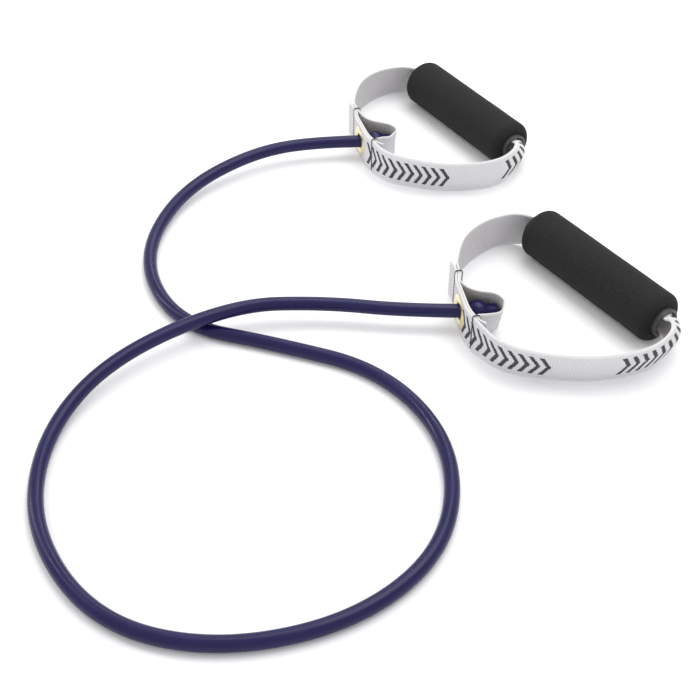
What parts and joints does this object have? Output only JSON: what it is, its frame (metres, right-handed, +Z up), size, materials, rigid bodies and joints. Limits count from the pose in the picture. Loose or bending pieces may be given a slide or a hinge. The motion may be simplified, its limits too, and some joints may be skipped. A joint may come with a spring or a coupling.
{
  "type": "resistance tube with handles",
  "caption": "Navy rubber exercise tube laid in a loose figure eight, with a soft strap handle with a foam grip at each end",
  "frame": {"origin": "on the ground, at the middle of the box round the two handles", "axes": "+X from the tube's loops towards the grips, +Y from the front handle to the rear handle, +Z up"},
  "size_m": [0.4442, 0.6218, 0.0394],
  "materials": {
    "tube_rubber": "satin",
    "foam": "matte",
    "core_plastic": "matte",
    "webbing": "matte",
    "thread": "matte",
    "brass": "satin",
    "plug_plastic": "matte"
  },
  "bodies": {
    "tube": {"tube": "tube_rubber", "rear_plug": "plug_plastic", "front_plug": "plug_plastic"},
    "front_strap": {"front_strap": "webbing", "front_pocket": "webbing", "front_grommet": "brass", "front_grommet_washer": "brass", "front_seam_far": "thread", "front_seam_near": "thread"},
    "front_grip": {"front_foam_grip": "foam", "front_grip_core": "core_plastic"},
    "rear_strap": {"rear_strap": "webbing", "rear_pocket": "webbing", "rear_grommet": "brass", "rear_grommet_washer": "brass", "rear_seam_far": "thread", "rear_seam_near": "thread"},
    "rear_grip": {"rear_foam_grip": "foam", "rear_grip_core": "core_plastic"}
  },
  "joints": [
    {"name": "front_swivel", "type": "hinge", "parent": "tube", "child": "front_strap", "pos_m": [-0.0348, -0.1365, 0.016], "axis": [1, 0, 0], "continuous": true},
    {"name": "front_grip_spin", "type": "hinge", "parent": "front_strap", "child": "front_grip", "pos_m": [0.0696, -0.097, 0.0197], "axis": [0.5736, -0.8192, 0], "continuous": true},
    {"name": "rear_swivel", "type": "hinge", "parent": "tube", "child": "rear_strap", "pos_m": [-0.1058, 0.0925, 0.016], "axis": [1, 0, 0], "continuous": true},
    {"name": "rear_grip_spin", "type": "hinge", "parent": "rear_strap", "child": "rear_grip", "pos_m": [-0.0131, 0.1343, 0.0197], "axis": [0.5446, -0.8387, 0], "continuous": true}
  ]
}
